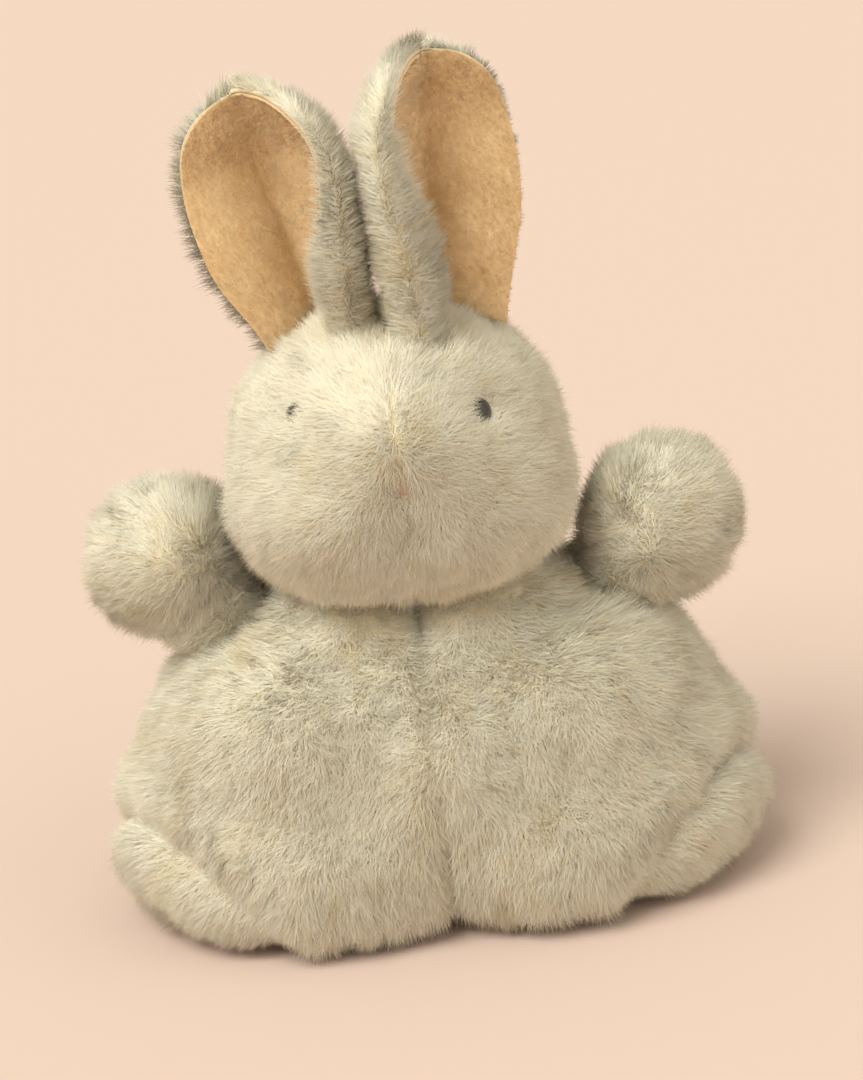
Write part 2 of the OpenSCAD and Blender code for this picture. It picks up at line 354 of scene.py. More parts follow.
def split_panels(obj, planes, name_of):
    """Cuts a skin along its seams' planes and returns {name: (points, triangles, normals)}."""
    bm = bmesh.new()
    bm.from_mesh(obj.data)
    for co, normal in planes:
        bmesh.ops.bisect_plane(bm, geom=bm.verts[:] + bm.edges[:] + bm.faces[:], dist=1e-6,
                               plane_co=Vector(co) * MM, plane_no=Vector(normal))
    cut = bpy.data.objects.new("cut", bpy.data.meshes.new("cut"))
    bm.to_mesh(cut.data)
    bm.free()
    points, faces = mesh_points(cut), triangles(cut)
    bpy.data.objects.remove(cut)
    normals = vertex_normals(points, faces)
    middle = points[faces].mean(1)
    names = name_of(middle)
    panels = {}
    for name in sorted(set(names)):
        own = faces[names == name]
        used, inverse = np.unique(own, return_inverse=True)
        panels[name] = (points[used], inverse.reshape(-1, 3), normals[used])
    return panels


def sheet(name, panel, thickness=0.9):
    """A closed sheet of fabric: the panel, its copy further in, and a wall round the rim."""
    points, faces, normals = panel
    count = len(points)
    edges = np.vstack([faces[:, [0, 1]], faces[:, [1, 2]], faces[:, [2, 0]]]).astype(np.int64)
    key = edges.min(1) * count + edges.max(1)
    _, first, uses = np.unique(key, return_index=True, return_counts=True)
    start, end = edges[first[uses == 1]].T
    wall = np.vstack([np.stack([end, start, start + count], 1),
                      np.stack([end, start + count, end + count], 1)])
    return make_mesh(name, np.vstack([points, points - normals * thickness]),
                     np.vstack([faces, faces[:, ::-1] + count, wall]))


# ---------- materials ----------

def rgb(r, g, b):
    """A display colour from 0 to 255, as the linear values that a shader takes."""
    c = np.array([r, g, b]) / 255
    linear = np.where(c <= 0.04045, c / 12.92, ((c + 0.055) / 1.055) ** 2.4)
    return (*linear.tolist(), 1.0)


# Each tone of hair, from 0 to 255
HAIR = {"cream": (248, 240, 215), "light_cream": (251, 246, 226), "ivory": (253, 250, 236),
        "warm_cream": (243, 233, 206), "shaded_cream": (236, 224, 194),
        "velour_dark": (228, 196, 148), "velour_mid": (239, 211, 166), "velour_light": (247, 222, 182)}
# The tones of a fabric; most of its hairs have the one in the middle
CREAM = ("cream", "light_cream", "ivory", "warm_cream", "shaded_cream")
VELOUR = ("velour_dark", "velour_mid", "velour_light")


def principled(name, colour, roughness, **extra):
    """A plain material, made once under its name; extra holds more of its shader's values."""
    found = bpy.data.materials.get(name)
    if found:
        return found
    m = bpy.data.materials.new(name)
    m.use_nodes = True
    shader = m.node_tree.nodes["Principled BSDF"]
    shader.inputs["Base Color"].default_value = colour
    shader.inputs["Roughness"].default_value = roughness
    for key, value in extra.items():
        shader.inputs[key.replace("_", " ")].default_value = value
    return m


def hair_material(tone):
    """One tone of the pile, with a soft gloss."""
    return principled("pile_" + tone, rgb(*HAIR[tone]), 0.62, Specular_IOR_Level=0.25)


BLOTCH = 12            # how much larger a fabric's blotches are than its grain
GRAIN_SHARE = 0.6      # of the grain, added to the blotches
RAMP = (0.55, 1.0)     # the sums of the two that show the dark and the light colour


def woven(name, light, dark, size, bump, roughness, **extra):
    """A fabric whose colour and surface vary: broad blotches, a grain of about the given size and a
    bump to match it."""
    found = bpy.data.materials.get(name)
    if found:
        return found
    m = principled(name, rgb(*light), roughness, **extra)
    nodes, links = m.node_tree.nodes, m.node_tree.links
    shader = nodes["Principled BSDF"]
    place = nodes.new("ShaderNodeTexCoord")

    def noise(scale, detail):
        n = nodes.new("ShaderNodeTexNoise")
        n.inputs["Scale"].default_value = scale
        n.inputs["Detail"].default_value = detail
        links.new(place.outputs["Object"], n.inputs["Vector"])
        return n.outputs["Fac"]

    broad, fine = noise(1 / (size * BLOTCH * MM), 3), noise(1 / (size * MM), 4)
    both = nodes.new("ShaderNodeMath")
    both.operation = "MULTIPLY_ADD"
    both.inputs[1].default_value = GRAIN_SHARE
    links.new(fine, both.inputs[0])
    links.new(broad, both.inputs[2])
    ramp = nodes.new("ShaderNodeValToRGB")
    ramp.color_ramp.elements[0].position = RAMP[0]
    ramp.color_ramp.elements[0].color = rgb(*dark)
    ramp.color_ramp.elements[1].position = RAMP[1]
    ramp.color_ramp.elements[1].color = rgb(*light)
    links.new(both.outputs[0], ramp.inputs["Fac"])
    links.new(ramp.outputs["Color"], shader.inputs["Base Color"])
    height = nodes.new("ShaderNodeBump")
    height.inputs["Strength"].default_value = bump
    height.inputs["Distance"].default_value = size * MM * 0.5
    links.new(fine, height.inputs["Height"])
    links.new(height.outputs["Normal"], shader.inputs["Normal"])
    return m


def backing_material():
    """The cover's woven ground, which shows between the hairs. Its cream is a little darker than the
    hair's, as painted shade under the pile.
    """
    return woven("pile_backing", (236, 224, 196), (218, 203, 170), 0.9, 0.4, 0.9)


def velour_material():
    """The ground of the ears' lining."""
    return woven("velour", (238, 210, 166), (224, 190, 142), 0.8, 0.35, 0.85,
                 Sheen_Weight=0.35, Sheen_Roughness=0.4)


# ---------- pile: real tapered strands grown on a skin ----------

SIDES = 3                       # of a hair, which tapers from a three-sided root to its tip
PER_STRAND = SIDES + 1
MOST_STRANDS = 60000            # in one piece, so that each piece stays under 200,000 triangles
ABOVE_FLOOR = 0.15              # no hair reaches lower
ROOT_DEPTH = 0.4                # of a hair, in the backing
TUFT = 2.6                      # across a tuft
STRAYS, STRAY_LENGTH = 0.02, 1.25   # the share of hairs that are longer, and by how much
TRIM_LIMITS = (0.12, 1.3)       # the smallest and the largest share of its length that a hair keeps
LEAN_LIMITS = (4, 82)

# The pile of each part of the toy, as grow() takes it
BODY_PILE = {"length": 7.4, "density": 7.5, "lean": 46}
BASE_PILE = {"length": 3.0, "density": 1.0, "lean": 60}
HEAD_PILE = {"length": 6.6, "density": 9.0, "lean": 46, "wander": 42}
ARM_PILE = {"length": 7.0, "density": 9.0, "lean": 44}
EAR_PILE = {"length": 5.6, "density": 9.0, "lean": 42}
LINING_PILE = {"length": 1.4, "density": 6.0, "width": 0.08, "lean": 35, "clump": 0.2}
TAIL_PILE = {"length": 7.4, "density": 8.0, "lean": 38}


def seed_of(name):
    """A number that depends only on a name, so that each run grows the same hairs."""
    return sum(ord(c) * (k + 3) for k, c in enumerate(name)) % 99991


def scatter(panel, density, rng):
    """Random roots on a panel, with the skin's smooth normal at each."""
    points, faces, normals = panel
    a, b, c = (points[faces[:, k]] for k in range(3))
    area = np.linalg.norm(np.cross(b - a, c - a), axis=1) / 2
    count = int(area.sum() * density)
    pick = rng.choice(len(faces), count, p=area / area.sum())
    u, v = rng.random(count), rng.random(count)
    flip = u + v > 1
    u[flip], v[flip] = 1 - u[flip], 1 - v[flip]
    w = np.stack([1 - u - v, u, v], axis=1)[:, :, None]
    roots = (points[faces[pick]] * w).sum(1)
    return roots, unit((normals[faces[pick]] * w).sum(1))


def clump_centres(values, roots, size):
    """The mean of the values over each small neighbourhood of roots, and each root's tuft."""
    warped = roots + 0.45 * size * wave_vectors(roots, size * 2.3, 5)
    cell = np.floor(warped / size).astype(np.int64)
    key = cell[:, 0] * 7919 + cell[:, 1] * 104729 + cell[:, 2] * 1299709
    _, inverse = np.unique(key, return_inverse=True)
    inverse = inverse.ravel()
    total = np.zeros((inverse.max() + 1, values.shape[1]))
    np.add.at(total, inverse, values)
    share = np.bincount(inverse)[:, None]
    return (total / share)[inverse], inverse


def strand_mesh(name, base, tip, width, skin_normal, tone):
    """One mesh of three-sided hairs that taper to a point, lit mostly as the skin under them."""
    n = len(base)
    rng = np.random.default_rng(seed_of(name) + 1)
    along = unit(tip - base)
    side = unit(np.cross(along, rng.normal(size=(n, 3))))
    other = np.cross(along, side)
    points = np.zeros((n, PER_STRAND, 3), np.float32)
    lit = np.zeros((n, PER_STRAND, 3), np.float32)
    for k in range(SIDES):
        angle = 2 * math.pi * k / SIDES
        out = side * math.cos(angle) + other * math.sin(angle)
        points[:, k] = base + out * width[:, None]
        lit[:, k] = unit(0.85 * skin_normal + 0.35 * out + 0.15 * along)
    points[:, -1] = tip
    lit[:, -1] = unit(skin_normal + 0.3 * along)
    points[:, :, 2] = np.maximum(points[:, :, 2], ABOVE_FLOOR)
    one = np.array([[k, (k + 1) % SIDES, SIDES] for k in range(SIDES)], np.int32)
    faces = one[None] + PER_STRAND * np.arange(n, dtype=np.int32)[:, None, None]
    obj = make_mesh(name, points.reshape(-1, 3), faces.reshape(-1, 3))
    obj.data.polygons.foreach_set("material_index", np.repeat(tone.astype(np.int32), SIDES))
    obj.data.normals_split_custom_set_from_vertices(lit.reshape(-1, 3))
    return obj


def hair_ways(roots, normals, flow, wander, rng):
    """The way along the skin that each hair leans: with the flow, less tidily than it."""
    along = flow(roots, normals)
    along = along - normals * dot(along, normals)[:, None]
    along = along + 0.36 * wave_vectors(roots, 16, 21) + 0.3 * wave_vectors(roots, 5, 31)
    along = unit(along - normals * dot(along, normals)[:, None])
    across = np.cross(normals, along)
    turn = np.radians(rng.normal(0, wander, len(roots)))[:, None]
    return along * np.cos(turn) + across * np.sin(turn)


def hair_tips(roots, normals, along, long, lean, rng):
    """Where hairs end that stand up at the root and lie over by about the lean, in degrees."""
    tilt = lean + 8 * waves(roots, 6, 41) + rng.normal(0, 10, len(roots))
    tilt = np.radians(np.clip(tilt, *LEAN_LIMITS))[:, None]
    early, late = tilt * 0.55, tilt * 1.25
    half = long[:, None] * 0.5
    middle = roots + (normals * np.cos(early) + along * np.sin(early)) * half
    return middle + (normals * np.cos(late) + along * np.sin(late)) * half


def hair_tones(roots, tufts, last, rng):
    """Each hair's number among the tones: it varies by patch, by tuft and by hair."""
    shift = rng.normal(0, 0.8, tufts.max() + 1)[tufts]
    value = 2 + 0.8 * waves(roots, 26, 51) + 0.4 * waves(roots, 7, 61) + 0.35 * shift
    value = value + rng.normal(0, 0.8, len(roots))
    return np.clip(np.round(value), 0, last)


def grow(name, panel, flow, length=8.0, density=7.5, width=0.12, lean=45, clump=0.34,
         wander=34, trim=None, tones=CREAM):
    """Pile fabric's hair on a panel: strands that lean along the flow, wander and draw into tufts.

    density is in hairs per square millimetre, lean and wander are in degrees, and clump is the share
    of the way that a tip is drawn to its tuft's middle. trim gives the share of the length that is
    left at each root."""
    rng = np.random.default_rng(seed_of(name))
    roots, normals = scatter(panel, density, rng)
    long = length * (1 + 0.16 * waves(roots, 9, 11) + rng.normal(0, 0.13, len(roots)))
    stray = rng.random(len(roots)) < STRAYS
    long = np.where(stray, long * STRAY_LENGTH, long)
    if trim is not None:
        share = trim(roots)
        keep = rng.random(len(roots)) < np.clip(share * 3, 0, 1)
        roots, normals, long, share = roots[keep], normals[keep], long[keep], share[keep]
        long = long * np.clip(share, *TRIM_LIMITS)
    count = len(roots)
    along = hair_ways(roots, normals, flow, wander, rng)
    tip = hair_tips(roots, normals, along, long, lean, rng)
    centre, tufts = clump_centres(tip, roots, TUFT)
    tip = tip + (centre - tip) * clump * rng.uniform(0.4, 1.0, count)[:, None]
    tone = hair_tones(roots, tufts, len(tones) - 1, rng)
    base = roots - normals * ROOT_DEPTH
    thick = width * rng.uniform(0.75, 1.25, count)
    shares = math.ceil(count / MOST_STRANDS)
    pieces = []
    for k, own in enumerate(np.array_split(np.argsort(-roots[:, 2]), shares)):
        label = name if shares == 1 else f"{name}_{k + 1}"
        obj = strand_mesh(label, base[own], tip[own], thick[own], normals[own], tone[own])
        for t in tones:
            obj.data.materials.append(hair_material(t))
        pieces.append(obj)
    return pieces


# ---------- how a piece joins the frame ----------

FILLING_IN = 1.6       # how far the filling lies inside the skin


def place(piece, body, slot, *nodes):
    """Fixes a piece to a body and hides the CAD nodes that it stands for. slot, its finish, is not used.
    """
    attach(piece, body)
    if nodes:
        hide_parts(*nodes)


def stuffing(name, skin, inset=FILLING_IN):
    """The filling inside a skin: the same form, a little smaller."""
    p = mesh_points(skin)
    n = vertex_normals(p, triangles(skin))
    obj = bpy.data.objects.new(name, skin.data.copy())
    bpy.context.scene.collection.objects.link(obj)
    set_points(obj, p - n * inset)
    obj.data.materials.append(woven("fibre", (246, 244, 238), (228, 224, 214), 1.6, 0.5, 0.95))
    return obj


def cover(name, panel, flow, **pile):
    """A panel of a cover: its woven backing, and the pile on it."""
    cloth = sheet(f"{name}_backing", panel)
    cloth.data.materials.append(backing_material())
    return [cloth, *grow(f"{name}_pile", panel, flow, **pile)]


# ---------- the torso ----------

SOLE_YAW, SOLE_PITCH, SOLE_REACH = 62.5, 30.0, 50.0
TORSO_SLACK, TORSO_SWELL = 1.5, 3.5       # how slack the cover starts, and the most that it swells
CHEST_SEAM, SIDE_SEAM, SOLE_SEAM = (3.0, 1.3), (2.5, 0.8), (3.4, 4.2)    # each groove's width, depth


def sole_normal(side):
    """The way that a sole's seam faces: outwards, forwards and down."""
    yaw, pitch = math.radians(SOLE_YAW), math.radians(SOLE_PITCH)
    return np.array([side * math.sin(yaw) * math.cos(pitch), -math.cos(yaw) * math.cos(pitch),
                     -math.sin(pitch)])


def sole_depth(p, side):
    """Distance beyond a sole's seam."""
    return (p - np.array([0, seam_y, 0])) @ sole_normal(side) - SOLE_REACH


def torso_seams(p):
    """Distance from the nearest seam of the body's cover."""
    soles = np.minimum(np.abs(sole_depth(p, 1)), np.abs(sole_depth(p, -1)))
    return np.minimum(np.minimum(np.abs(p[:, 0]), np.abs(p[:, 1] - seam_y)), soles)


def torso_hold(points):
    """How firmly the body's cover is held while it is stuffed: along its seams and at its base."""
    return np.maximum(near(torso_seams(points), 3.5), smoothstep(7 - points[:, 2], 0, 3))


def torso_skin():
    """The body's cover before it is cut: stuffed, then drawn in along its seams."""
    obj = stuffed("torso_skin", torso_form, torso_mid, TORSO_SLACK, TORSO_SWELL, torso_hold)
    p = mesh_points(obj)
    n = vertex_normals(p, triangles(obj))
    out_of_base = smoothstep(p[:, 2], 3, 10)
    front = smoothstep(seam_y - p[:, 1], 4, 20)
    push = -np.median(torso_form(p)) * out_of_base
    push = push + groove(p[:, 0], *CHEST_SEAM) * out_of_base * (0.5 + 0.7 * front)
    for side in (1, -1):
        push = push + groove(sole_depth(p, side), *SOLE_SEAM) * smoothstep(p[:, 2], 5, 24)
    push = push + groove(p[:, 1] - seam_y, *SIDE_SEAM) * out_of_base
    push = push + 0.7 * waves(p, 34, 71) * out_of_base
    set_points(obj, p + n * push[:, None])
    return obj


def torso_panel_names(p):
    """Which panel each point of the body's cover belongs to."""
    side = np.where(p[:, 0] > 0, "left", "right")
    end = np.where(p[:, 1] < seam_y, "front", "back")
    names = np.array([f"body_{e}_{s}" for e, s in zip(end, side)], dtype=object)
    names[sole_depth(p, 1) > 0] = "left_sole"
    names[sole_depth(p, -1) > 0] = "right_sole"
    names[p[:, 2] < base_top] = "base_panel"
    return names.astype(str)


def torso_flow(p, n):
    """Down the body, and away from the seam down the chest and the seams of the soles."""
    q = p - np.array([0, seam_y, 0])
    away = np.sign(q[:, 0]) * near(q[:, 0], 12) * 0.45
    down = np.tile([0.0, 0.0, -1.0], (len(p), 1))
    down[:, 0] += away + 0.5 * q[:, 0] / 60
    for side in (1, -1):
        depth = sole_depth(p, side)
        parting = np.tanh(depth / 2.0) * near(depth, 9)
        down = down + sole_normal(side) * parting[:, None] * 1.2
        down = down + sole_normal(side) * [1, 1, 0] * smoothstep(depth, 0, 8)[:, None] * 0.7
    return down


def torso_trim(p):
    """Share of the pile's length left: short in the seat that the head lies in, and along seams."""
    seat = smoothstep(np.linalg.norm(p - head_mid - np.array([0, 0, 8.5]), axis=1), 54.5, 60)
    front = smoothstep(seam_y - p[:, 1], 4, 20)
    chest = 1 - 0.2 * near(p[:, 0], 2.2) * front
    soles = np.minimum(np.abs(sole_depth(p, 1)), np.abs(sole_depth(p, -1)))
    return (0.4 + 0.6 * seat) * chest * (1 - 0.6 * near(soles, 2.8))


def make_torso():
    """The body: seven panels of cover, and its filling."""
    skin = torso_skin()
    planes = [((0, 0, 0), (1, 0, 0)), ((0, seam_y, 0), (0, 1, 0)), ((0, 0, base_top), (0, 0, 1))]
    for side in (1, -1):
        n = sole_normal(side)
        planes.append((np.array([0, seam_y, 0]) + n * SOLE_REACH, n))
    panels = split_panels(skin, planes, torso_panel_names)
    for name, panel in panels.items():
        pile = BASE_PILE if name == "base_panel" else BODY_PILE
        for piece in cover(name, panel, torso_flow, trim=torso_trim, **pile):
            place(piece, "torso", "pile", name)
    filling = stuffing("body_stuffing", skin)
    place(filling, "torso", "fibre", "body_filling")
    bpy.data.objects.remove(skin)


# ---------- the head ----------

def eye_point(name):
    """Where an eye's dome stands on the head, from its CAD solid."""
    co = mesh_points(frame["nodes"][name])
    reach = np.linalg.norm(co - head_mid, axis=1)
    return co[reach > reach.max() - 2.0].mean(0)


def skin_point(direction):
    """Where a ray from the head's middle leaves the head's skin."""
    low, high = 10.0, 90.0
    for _ in range(FINE_HALVINGS):
        mid = (low + high) / 2
        inside = head_form((head_mid + direction * mid)[None, :])[0] < 0
        low, high = (mid, high) if inside else (low, mid)
    return head_mid + direction * low


eye_ways = {side: unit(eye_point(f"{side}_eye") - head_mid) for side in ("left", "right")}
eye_ways["left"] = unit(eye_ways["left"] - np.array([0, 0, 0.05]))     # it sits a little lower
nose_way = unit(np.array([0, -40.0, -0.5]))
mouth_way = unit(np.array([0, -38.0, -12.0]))
eyes = {side: skin_point(way) for side, way in eye_ways.items()}
nose_at = skin_point(nose_way)
mouth_at = skin_point(mouth_way)

HEAD_SLACK, HEAD_SWELL = 1.2, 2.5                  # as the body's
FACE_SEAM, CROWN_SEAM = (2.6, 0.9), (2.6, 0.6)     # each groove's width and depth
EYE_SINK, NOSE_SINK, MOUTH_SINK = 2.4, 1.4, 2.2    # how far their threads pull the skin in


def head_hold(points):
    """How firmly the head's cover is held: along its seams, and at the eyes, nose and mouth."""
    held = near(np.minimum(np.abs(points[:, 0]), np.abs(points[:, 1] - head_mid[1])), 2.5)
    for at in (eyes["left"], eyes["right"], nose_at, mouth_at):
        held = np.maximum(held, bump(points, at, 5, 1.0))
    return held


def head_skin():
    """The head's cover before it is cut. It also moves the eyes' and the nose's places onto it."""
    obj = stuffed("head_skin", head_form, head_mid, HEAD_SLACK, HEAD_SWELL, head_hold)
    p = mesh_points(obj)
    n = vertex_normals(p, triangles(obj))
    push = groove(p[:, 0], *FACE_SEAM) + groove(p[:, 1] - head_mid[1], *CROWN_SEAM)
    push = push - np.median(head_form(p))
    push = push - bump(p, eyes["left"], 6.5, EYE_SINK) - bump(p, eyes["right"], 7.5, EYE_SINK)
    push = push - bump(p, nose_at, 4.5, NOSE_SINK) - bump(p, mouth_at, 6.0, MOUTH_SINK)
    push = push + 0.5 * waves(p, 30, 81)
    p = p + n * push[:, None]
    set_points(obj, p)
    for at, way in ((eyes["left"], eye_ways["left"]), (eyes["right"], eye_ways["right"]),
                    (nose_at, nose_way)):
        at[:] = p[np.argmax(unit(p - head_mid) @ way)]
    return obj


def head_panel_names(p):
    """Which panel each point of the head's cover belongs to."""
    side = np.where(p[:, 0] > 0, "left", "right")
    end = np.where(p[:, 1] < head_mid[1], "front", "back")
    return np.array([f"head_{e}_{s}" for e, s in zip(end, side)])


def head_flow(p, n):
    """Outwards from the nose over the cheeks and the brow, and down at the sides and the chin."""
    q = p - head_mid
    away = unit(q - np.array([0, -44, 2.0])) * [1.2, 1, 0.7]
    parting = 0.5 * np.sign(q[:, 0]) * near(q[:, 0], 9)
    chin = smoothstep(-q[:, 2], 8, 30)
    return away + np.stack([parting, 0 * parting, -0.3 - 0.6 * chin], axis=1)


def shorn(p, at, least, reach):
    """Share of the pile's length left round a point: the least within reach of it, all at 7 mm."""
    return least + (1 - least) * smoothstep(np.linalg.norm(p - at, axis=1), reach, 7.0)


def head_trim(p):
    """Share of the pile's length left: short round the eyes and over the nose, long at the crown."""
    left = shorn(p, eyes["left"], 0.25, 1.8)
    right = shorn(p, eyes["right"], 0.62, 1.0)
    nose = shorn(p, nose_at, 0.55, 1.0)
    crown = 1 + bump(p, skin_point(unit(np.array([0, -6.0, 38]))), 9, 0.25)
    return np.minimum(np.minimum(left, right), nose) * crown


def tube(path, radius, sides=6):
    """A round thread along a path: points and faces."""
    path = np.asarray(path, float)
    along = unit(np.gradient(path, axis=0))
    across = unit(np.cross(along, np.array([0.13, 0.31, 0.94])))
    other = np.cross(along, across)
    angle = 2 * np.pi * np.arange(sides) / sides
    ring = across[:, None] * np.cos(angle)[None, :, None] + other[:, None] * np.sin(angle)[None, :, None]
    points = (path[:, None] + ring * radius).reshape(-1, 3)
    i, j = np.meshgrid(np.arange(len(path) - 1), np.arange(sides), indexing="ij")
    here, beside = (i * sides + j).ravel(), (i * sides + (j + 1) % sides).ravel()
    return points, np.stack([here, beside, beside + sides, here + sides], axis=1)


NOSE_THREADS, NOSE_THREAD_RADIUS = 9, 0.36
NOSE_REACH, NOSE_STEP = 3.6, 0.525     # half the longest thread, and from one thread to the next


def make_nose():
    """Satin stitches side by side across the nose, each a thread that dips into the pile at its ends."""
    points, faces, count = [], [], 0
    across = np.array([1.0, 0, 0])
    up = np.cross(nose_way, across) * -1
    for k in range(NOSE_THREADS):
        share = 2 * k / (NOSE_THREADS - 1) - 1
        reach = NOSE_REACH * (1 - 0.45 * share ** 2) * (1 - 0.18 * share)
        t = np.linspace(-1, 1, 13)[:, None]
        rise = 1.6 * (1 - t ** 4) + 0.25 * (1 - share ** 2)
        path = nose_at + across * t * reach + nose_way * (rise - 0.3)
        path = path - up * share * NOSE_STEP * (NOSE_THREADS - 1) / 2
        own, quads = tube(path, NOSE_THREAD_RADIUS)
        points.append(own)
        faces.append(quads + count)
        count += len(own)
    nose = make_mesh("nose_threads", np.vstack(points), np.vstack(faces))
    nose.data.materials.append(woven("nose_thread", (208, 180, 152), (186, 156, 130), 0.3, 0.4, 0.6))
    place(nose, "head", "thread", "nose_stitching")


def eye_material():
    """Dark glossy plastic."""
    return principled("eye_gloss", rgb(52, 48, 46), 0.14, Coat_Weight=0.4)


def make_eye(side, radius, lift):
    """A bead sunk in the pile."""
    way = eye_ways[side]
    at = eyes[side] + way * lift
    points, faces = project(Ball(at, radius), at, 4, reach=20)
    bead = make_mesh(f"{side}_eye_bead", points, faces)
    bead.data.materials.append(eye_material())
    place(bead, "head", "eye", f"{side}_eye")


def make_head():
    """The head: four panels of cover, and its filling."""
    skin = head_skin()
    planes = [((0, 0, 0), (1, 0, 0)), ((0, head_mid[1], 0), (0, 1, 0))]
    panels = split_panels(skin, planes, head_panel_names)
    for name, panel in panels.items():
        for piece in cover(name, panel, head_flow, trim=head_trim, **HEAD_PILE):
            place(piece, "head", "pile", name)
    filling = stuffing("head_stuffing", skin)
    place(filling, "head", "fibre", "head_filling")
    bpy.data.objects.remove(skin)


# ---------- the arms ----------

def arm_frame(side):
    """The arm seam's place, and its turn: X along the hinge, Z out along the arm."""
    name = word_of(side) + "_arm_swing"
    x = hinge_axis(name) * 1.0
    y = np.array([0.0, 1.0, 0.0])
    z = np.cross(x, y)
    return pivot(name), np.stack([x, y, z], axis=1)


ARM_LIFT = {1: -1.5, -1: 4.0}     # how far each arm is sewn up from its hinge's line
ARM_REACH = {1: 18.5, -1: 20.5}   # from the arm's seam to the middle of its pad
ARM_SEAM = (2.4, 0.8)             # its groove's width and depth


def arm_form(side):
    """A round pad on a short root."""
    at, turn = arm_frame(side)
    lift, reach = ARM_LIFT[side], ARM_REACH[side]
    parts = [Ball(at + turn @ (-side * lift, 0, reach), (16.6, 16.8, 17.0), turn),
             Ball(at + turn @ (-side * lift, -0.5, reach + 3), (15.8, 16.2, 16.6), turn),
             Ball(at + turn @ (-side * lift * 0.7, 0, 6), (11.0, 11.5, 14.0), turn)]
    return lambda p: merge([b(p) for b in parts], 5.0)


def arm_skin(side):
    """An arm's cover before it is cut."""
    at, turn = arm_frame(side)
    points, faces = project(arm_form(side), at + turn @ (-side * 2.0, 0, 17.0), 5, reach=60)
    obj = make_mesh(word_of(side) + "_arm_skin", points, faces)
    refine(obj)
    p = mesh_points(obj)
    n = vertex_normals(p, triangles(obj))
    push = groove(p[:, 1] - seam_y, *ARM_SEAM) + 0.5 * waves(p, 22, 91 + side)
    set_points(obj, p + n * push[:, None])
    return obj


def make_arm(side):
    """An arm: its cover and its filling."""
    body = word_of(side) + "_arm"
    skin = arm_skin(side)
    at, turn = arm_frame(side)
    panels = split_panels(skin, [((0, seam_y, 0), (0, 1, 0))],
                          lambda p: np.where(p[:, 1] < seam_y, f"{body}_front", f"{body}_back"))
    out = turn[:, 2]

    def flow(p, n):
        return 0.8 * out + np.array([0, 0, -0.5]) + 0 * p

    pieces = []
    for name, panel in panels.items():
        pieces += [(piece, name, "pile") for piece in cover(name, panel, flow, **ARM_PILE)]
    filling = stuffing(f"{body}_stuffing", skin)
    pieces.append((filling, f"{body}_filling", "fibre"))
    for piece, node, slot in pieces:
        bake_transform(piece)
        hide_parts(node)
    bpy.data.objects.remove(skin)


# ---------- the ears ----------

# Each ear by its side (the toy's left is 1): how far it opens to the side and tips back in degrees,
# its length, its lean, how far inwards it is sewn, its foot's share of its width, its width beside
# the section's below, and how much of the pile is shorn at its outer rim
EAR_SHAPES = {
    1: {"turn": 27, "tip": 1, "length": 66, "lean": -3.0, "inwards": 5.5, "foot": 0.8, "size": 1.24,
        "shorn": 0.6},
    -1: {"turn": 8, "tip": 7, "length": 64, "lean": 0.0, "inwards": 3.0, "foot": 0.72, "size": 1.16,
         "shorn": 0.2}}
EAR_ROWS, EAR_COLUMNS = 46, 48
EAR_WIDEST = 0.45        # of its length, where the ear is widest
EAR_BLUNTNESS = 2.6      # of its tip, which would be half an ellipse at 2
EAR_UNROLLED = 0.42      # how much less the section is curled at the tip than at the root
EAR_HOOD = 6.0           # how far the tip leans over the opening
EAR_AXIS = (2.0, 4.0)    # the point of the section, inwards and out, that stands over the joint
# The ear's section: how far it is along the fabric from the fold, and which way it heads there, in
# degrees from inwards (0) through the way that the ear opens (90) to outwards (180)
SECTION_AT = (-21.0, -3.0, 2.5, 17.0, 32.0)
SECTION_HEADING = (-12.0, -62.0, 38.0, 48.0, 190.0)


def ear_frame(side):
    """The ear's root, and its turn: X outwards, Y back, Z up the ear."""
    name = word_of(side) + "_ear_bend"
    x = hinge_axis(name) * 1.0
    turn = rotation(x, EAR_SHAPES[side]["tip"])
    turn = turn @ rotation((0, 1, 0), EAR_SHAPES[side]["lean"])
    y = turn @ np.array([0.0, 1.0, 0.0])
    z = unit(np.cross(turn @ x, y))
    return pivot(name), np.stack([np.cross(y, z) * side, y, z], axis=1)


def ear_section(at, curl):
    """Where a point of the section lies, inwards and towards the opening, from the fold."""
    steps = np.linspace(0, 1, 24)
    along = at[..., None] * steps
    heading = np.radians(np.interp(along, SECTION_AT, SECTION_HEADING)) * curl[..., None]
    return at * np.cos(heading).mean(-1), at * np.sin(heading).mean(-1)


